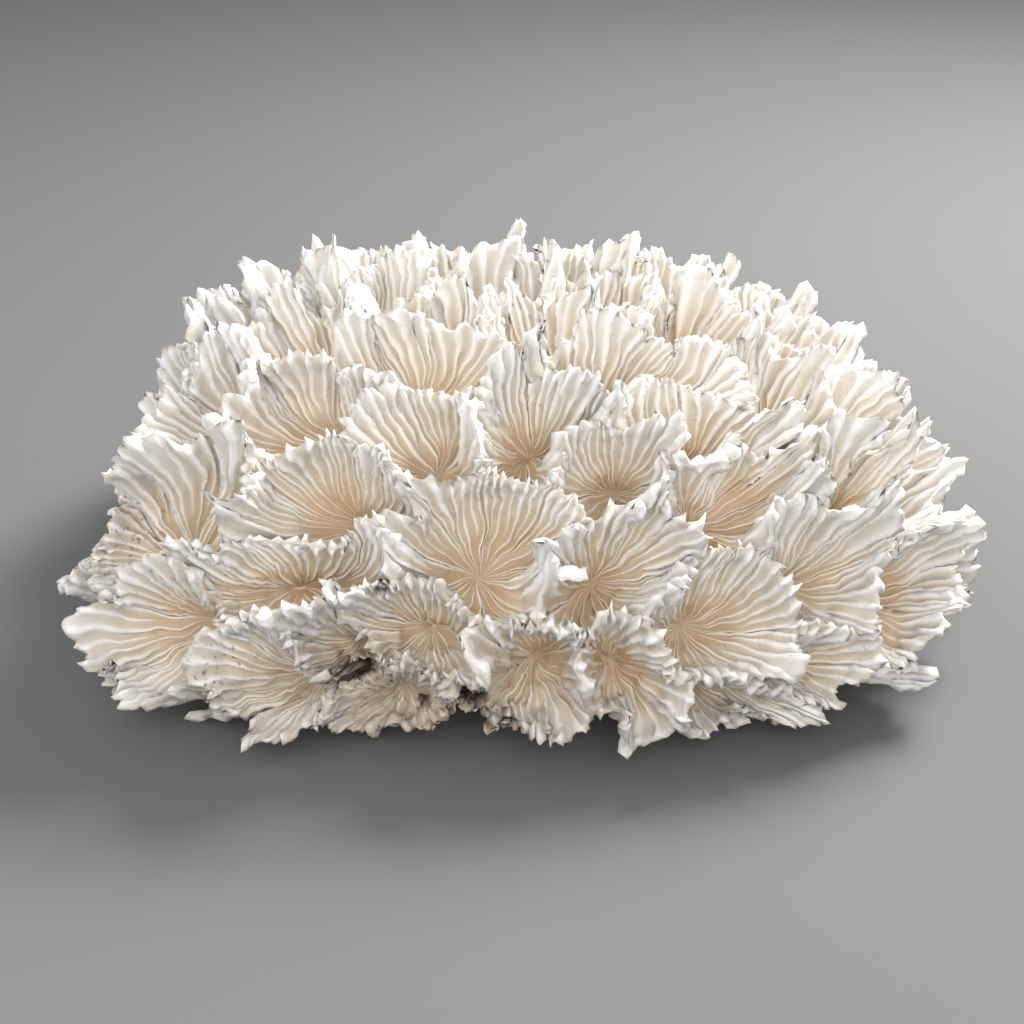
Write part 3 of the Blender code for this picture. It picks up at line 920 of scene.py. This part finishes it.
def noise(tree, vector, scale, detail=4.0, roughness=0.6):
    node = tree.nodes.new("ShaderNodeTexNoise")
    node.inputs["Scale"].default_value = scale
    node.inputs["Detail"].default_value = detail
    node.inputs["Roughness"].default_value = roughness
    tree.links.new(vector, node.inputs["Vector"])
    return node.outputs["Fac"]


def spread(tree, value, low, high, to_low=0.0, to_high=1.0):
    """Maps a value from low..high to to_low..to_high, clamped."""
    node = tree.nodes.new("ShaderNodeMapRange")
    node.inputs["From Min"].default_value = low
    node.inputs["From Max"].default_value = high
    node.inputs["To Min"].default_value = to_low
    node.inputs["To Max"].default_value = to_high
    tree.links.new(value, node.inputs["Value"])
    return node.outputs["Result"]


def reckon(tree, operation, first, second):
    """A sum, difference or product of two values, each a number or a socket."""
    node = tree.nodes.new("ShaderNodeMath")
    node.operation = operation
    for socket, value in zip(node.inputs, (first, second)):
        if isinstance(value, float):
            socket.default_value = value
        else:
            tree.links.new(value, socket)
    return node.outputs[0]


def product(tree, first, second):
    return reckon(tree, "MULTIPLY", first, second)


def blend_colours(tree, amount, below, above):
    """Lays one colour over another by an amount, each a constant or a socket."""
    node = tree.nodes.new("ShaderNodeMix")
    node.data_type = "RGBA"
    if isinstance(amount, float):
        node.inputs[0].default_value = amount
    else:
        tree.links.new(amount, node.inputs[0])
    for socket, value in ((node.inputs[6], below), (node.inputs[7], above)):
        if isinstance(value, tuple):
            socket.default_value = (*value, 1.0)
        else:
            tree.links.new(value, socket)
    return node.outputs[2]


def chalk_grain_group():
    """Grain and pinholes of old skeleton as a height, and masks for specks, stains and dust."""
    group, coming, going = new_group(
        "chalk_grain",
        [("Grain Scale", 900.0), ("Speck Share", 0.30)],
        [
            ("Height", "NodeSocketFloat"),
            ("Specks", "NodeSocketFloat"),
            ("Stains", "NodeSocketFloat"),
            ("Mottle", "NodeSocketFloat"),
            ("Dust", "NodeSocketFloat"),
        ],
    )
    place = group.nodes.new("ShaderNodeTexCoord").outputs["Object"]
    fine = group.nodes.new("ShaderNodeTexNoise")
    fine.inputs["Detail"].default_value = 3.0
    group.links.new(place, fine.inputs["Vector"])
    group.links.new(coming.outputs["Grain Scale"], fine.inputs["Scale"])
    holes = group.nodes.new("ShaderNodeTexVoronoi")
    holes.inputs["Scale"].default_value = 330.0
    group.links.new(place, holes.inputs["Vector"])
    near_hole = spread(group, holes.outputs["Distance"], 0.10, 0.24, 1.0, 0.0)
    patchy = spread(group, noise(group, place, 38.0), 0.56, 0.68)
    hole_mask = product(group, near_hole, patchy)
    height = reckon(group, "SUBTRACT", fine.outputs["Fac"], hole_mask)
    group.links.new(height, going.inputs["Height"])
    specks = product(group, hole_mask, coming.outputs["Speck Share"])
    group.links.new(specks, going.inputs["Specks"])
    group.links.new(spread(group, noise(group, place, 21.0, 5.0), 0.50, 0.66), going.inputs["Stains"])
    group.links.new(noise(group, place, 70.0, 6.0, 0.7), going.inputs["Mottle"])
    group.links.new(spread(group, noise(group, place, 420.0, 3.0), 0.58, 0.66), going.inputs["Dust"])
    return group


CHALK_GRAIN = chalk_grain_group()
print("group", CHALK_GRAIN.name, "has", len(CHALK_GRAIN.nodes), "nodes")

# %% Mix the bleached skeleton
RIM_WHITE = (0.90, 0.89, 0.87)
FLANK_WHITE = (0.87, 0.83, 0.77)
# The cup cream is partly the coral's own tone and partly painted shade deep in the cups
CUP_CREAM_AND_PAINTED_SHADE = (0.85, 0.78, 0.66)
# Painted shade colours for the grooves low on the walls and deep in the cups
LOW_GROOVE_PAINTED_SHADE = (0.62, 0.49, 0.34)
DEEP_GROOVE_PAINTED_SHADE = (0.40, 0.26, 0.14)
STAIN_RUST = (0.60, 0.36, 0.15)
SPECK_BROWN = (0.13, 0.08, 0.05)
# Painted shade for the grooves
GROOVE_PAINTED_SHADE = (0.50, 0.435, 0.34)
WORN_GREY = (0.50, 0.42, 0.32)
# Painted shade for the hollows of the front foot
HOLLOW_PAINTED_SHADE = (0.09, 0.055, 0.03)
DUST_GREY = (0.16, 0.13, 0.10)
GROWTH_RED = (0.42, 0.09, 0.05)


def carried(tree, label):
    """The value that every point carries under one label."""
    node = tree.nodes.new("ShaderNodeAttribute")
    node.attribute_name = label
    return node.outputs["Fac"]


def new_finish(name):
    """A material, its node tree and shader, and the chalk grain placed in it."""
    made = bpy.data.materials.new(name)
    made.use_nodes = True
    tree = made.node_tree
    shader = next(node for node in tree.nodes if node.type == "BSDF_PRINCIPLED")
    grain = tree.nodes.new("ShaderNodeGroup")
    grain.node_tree = CHALK_GRAIN
    return made, tree, shader, grain


def chalky(tree, shader, grain, colour, roughness, strength, distance):
    """Gives the shader its colour, a mottled roughness and the relief of the grain."""
    tree.links.new(colour, shader.inputs["Base Color"])
    tree.links.new(spread(tree, grain.outputs["Mottle"], 0.3, 0.7, *roughness), shader.inputs["Roughness"])
    bump = tree.nodes.new("ShaderNodeBump")
    bump.inputs["Strength"].default_value = strength
    bump.inputs["Distance"].default_value = distance
    tree.links.new(grain.outputs["Height"], bump.inputs["Height"])
    tree.links.new(bump.outputs["Normal"], shader.inputs["Normal"])


def bleached_skeleton():
    made, tree, shader, grain = new_finish("bleached_skeleton")
    mottled = spread(tree, grain.outputs["Mottle"], 0.25, 0.75, -0.10, 0.10)
    high = reckon(tree, "ADD", carried(tree, "lift"), mottled)
    groove = spread(tree, carried(tree, "rib"), 0.0, 0.45, 1.0, 0.0)
    # From the cup up to the rim: cream, warm white, chalk white. The cream is partly the coral's own tone
    # and partly painted shade low in the cups
    colour = blend_colours(tree, spread(tree, high, 0.06, 0.50), CUP_CREAM_AND_PAINTED_SHADE, FLANK_WHITE)
    colour = blend_colours(tree, spread(tree, high, 0.45, 0.90), colour, RIM_WHITE)
    # Painted shade in the grooves: duller all the way up, tan low down and brown in the deepest cups
    groove_painted_shade = product(tree, groove, spread(tree, high, 0.25, 0.95, 0.90, 0.50))
    colour = blend_colours(tree, groove_painted_shade, colour, GROOVE_PAINTED_SHADE)
    # Painted highlight: the rib crests are lightened towards chalk white
    crest = spread(tree, carried(tree, "rib"), 0.45, 0.80, 0.0, 0.60)
    colour = blend_colours(tree, crest, colour, RIM_WHITE)
    # Painted shade low in the grooves in tan, and in brown in the deepest cups
    low = spread(tree, high, 0.02, 0.45, 1.0, 0.0)
    low_groove_shade = product(tree, product(tree, groove, low), 0.70)
    colour = blend_colours(tree, low_groove_shade, colour, LOW_GROOVE_PAINTED_SHADE)
    deep_groove_shade = product(tree, groove, spread(tree, high, -0.05, 0.20, 1.0, 0.0))
    colour = blend_colours(tree, product(tree, deep_groove_shade, 0.78), colour, DEEP_GROOVE_PAINTED_SHADE)
    stained = product(tree, grain.outputs["Stains"], spread(tree, high, 0.10, 0.40, 1.0, 0.0))
    colour = blend_colours(tree, product(tree, stained, 0.45), colour, STAIN_RUST)
    # The front foot is worn down to grey, porous skeleton, and its hollows are darkened with painted shade
    worn = product(tree, carried(tree, "worn"), spread(tree, grain.outputs["Mottle"], 0.30, 0.58))
    colour = blend_colours(tree, product(tree, worn, 0.85), colour, WORN_GREY)
    colour = blend_colours(tree, grain.outputs["Specks"], colour, SPECK_BROWN)
    dusty = spread(tree, grain.outputs["Dust"], 0.0, 1.0, 0.0, 0.75)
    colour = blend_colours(tree, product(tree, carried(tree, "dusty"), dusty), colour, DUST_GREY)
    colour = blend_colours(tree, product(tree, carried(tree, "red"), 0.85), colour, GROWTH_RED)
    # Painted shade in the hollows of the front foot
    hollow_shade_share = spread(tree, carried(tree, "hollow"), 0.15, 0.85, 0.0, 0.93)
    colour = blend_colours(tree, hollow_shade_share, colour, HOLLOW_PAINTED_SHADE)
    chalky(tree, shader, grain, colour, (0.80, 0.95), 0.45, 0.0006)
    return made


skeleton_finish = bleached_skeleton()
for name, piece in lobes.items():
    piece.data.materials.clear()
    piece.data.materials.append(skeleton_finish)
    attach(piece, "root")
    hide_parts(name)
print(len(lobes), "lobes dressed")

# %% [markdown]
# ## The chip in the round cup
# A flat chip of broken wall lies over a groove of the round cup, held at its left end. It is a thin block
# with a ragged outline, sunk into the wall there.

# %% Add the chip
CHIP_MIDDLE = (0.0142, -0.1215, 0.0748)
CHIP_SIZE = (0.0135, 0.0050, 0.0017)
CHIP_TURN = (18.0, 10.0, 14.0)
CHIP_CUTS = 14
CHIP_RAGGED = 0.0005
CHIP_RAGGED_LENGTH = 0.0042

bpy.ops.object.select_all(action="DESELECT")
bpy.ops.mesh.primitive_cube_add(size=1.0)
chip = bpy.context.object
chip.name = "attached_chip"
chip.scale = CHIP_SIZE
chip.rotation_euler = tuple(math.radians(angle) for angle in CHIP_TURN)
chip.location = CHIP_MIDDLE
bpy.ops.object.transform_apply(location=True, rotation=True, scale=True)
bpy.ops.object.mode_set(mode="EDIT")
bpy.ops.mesh.select_all(action="SELECT")
bpy.ops.mesh.subdivide(number_cuts=CHIP_CUTS)
bpy.ops.object.mode_set(mode="OBJECT")
spots = np.empty(len(chip.data.vertices) * 3)
chip.data.vertices.foreach_get("co", spots)
spots = spots.reshape(-1, 3)
spots = spots + CHIP_RAGGED * wave_vector(spots, CHIP_RAGGED_LENGTH, (81, 82, 83))
chip.data.vertices.foreach_set("co", spots.ravel())
chip.data.update()
chip.data.materials.append(skeleton_finish)
for label, value in (("lift", 0.95), ("rib", 0.6)):
    layer = chip.data.attributes.new(label, "FLOAT", "POINT")
    layer.data.foreach_set("value", np.full(len(chip.data.vertices), value))
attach(chip, "root")
print("the chip has", len(chip.data.polygons), "faces")

# %% Finish the cut foot
FOOT_DULL = (0.46, 0.39, 0.29)
FOOT_PALE = (0.66, 0.60, 0.50)
FOOT_PIT = (0.16, 0.11, 0.07)


def cut_foot_finish():
    made, tree, shader, grain = new_finish("cut_foot")
    grain.inputs["Grain Scale"].default_value = 500.0
    grain.inputs["Speck Share"].default_value = 0.75
    colour = blend_colours(tree, grain.outputs["Mottle"], FOOT_DULL, FOOT_PALE)
    colour = blend_colours(tree, grain.outputs["Specks"], colour, FOOT_PIT)
    chalky(tree, shader, grain, colour, (0.85, 0.97), 0.6, 0.0008)
    return made


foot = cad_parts[CUT_BASE]
foot.data.materials.clear()
foot.data.materials.append(cut_foot_finish())
print("the cut foot keeps its packed shape, with", len(foot.data.polygons), "faces")

# %% [markdown]
# ## The studio
# The photograph has a plain ground and soft light from high on the right, a little behind the coral, with a
# pale fill from the left and the front. A wide sheet of paper that turns up far behind the coral keeps the
# background plain.

# %% Lay the ground
GROUND_SIZE = 8.0
GROUND_MIDDLE = (0.0, 2.4, 0.0)
GROUND_BACK_FROM = 3.9
BACK_HEIGHT = 5.0
PAPER_GREY = (0.152, 0.152, 0.150, 1.0)

bpy.ops.object.select_all(action="DESELECT")
bpy.ops.mesh.primitive_plane_add(size=GROUND_SIZE, location=GROUND_MIDDLE)
ground = bpy.context.object
ground.name = "pale_ground"
bpy.ops.object.mode_set(mode="EDIT")
bpy.ops.mesh.select_mode(type="EDGE")
bpy.ops.mesh.select_all(action="DESELECT")
bpy.ops.object.mode_set(mode="OBJECT")
for edge in ground.data.edges:
    ends = [ground.data.vertices[i].co.y for i in edge.vertices]
    edge.select = min(ends) > GROUND_BACK_FROM
bpy.ops.object.mode_set(mode="EDIT")
bpy.ops.mesh.extrude_region_move(TRANSFORM_OT_translate={"value": (0.0, 0.0, BACK_HEIGHT)})
bpy.ops.object.mode_set(mode="OBJECT")
bpy.ops.object.transform_apply(location=True, rotation=True, scale=True)
paper = bpy.data.materials.new("pale_paper")
paper.use_nodes = True
paper_shader = next(node for node in paper.node_tree.nodes if node.type == "BSDF_PRINCIPLED")
paper_shader.inputs["Base Color"].default_value = PAPER_GREY
paper_shader.inputs["Roughness"].default_value = 0.9
ground.data.materials.append(paper)
print("ground laid,", len(ground.data.polygons), "faces")

# %% Set the lights
AIM = (0.0, 0.0, 0.06)
ROOM_TINT = (0.90, 0.93, 1.0, 1.0)
ROOM_STRENGTH = 0.57


def soft_light(name, place, size, watts, tint):
    """A square area light that looks at the middle of the coral."""
    bpy.ops.object.select_all(action="DESELECT")
    bpy.ops.object.light_add(type="AREA", location=place)
    light = bpy.context.object
    light.name = name
    away = np.array(place) - np.array(AIM)
    flat = math.hypot(away[0], away[1])
    light.rotation_euler = (math.atan2(flat, away[2]), 0.0, math.atan2(away[1], away[0]) + math.pi / 2.0)
    light.data.size = size
    light.data.energy = watts
    light.data.color = tint
    return light


soft_light("key_right", (0.75, 0.55, 1.05), 0.60, 37.0, (1.0, 0.985, 0.965))
soft_light("fill_left", (-1.1, -0.5, 0.8), 1.2, 7.5, (0.97, 0.985, 1.0))
soft_light("fill_front", (0.1, -1.3, 0.75), 1.2, 12.0, (1.0, 0.985, 0.96))
world = bpy.data.worlds.new("pale_room")
bpy.context.scene.world = world
world.use_nodes = True
background = next(node for node in world.node_tree.nodes if node.type == "BACKGROUND")
background.inputs["Color"].default_value = ROOM_TINT
background.inputs["Strength"].default_value = ROOM_STRENGTH
bpy.context.scene.view_settings.view_transform = "Standard"
print("three soft lights and a pale room")
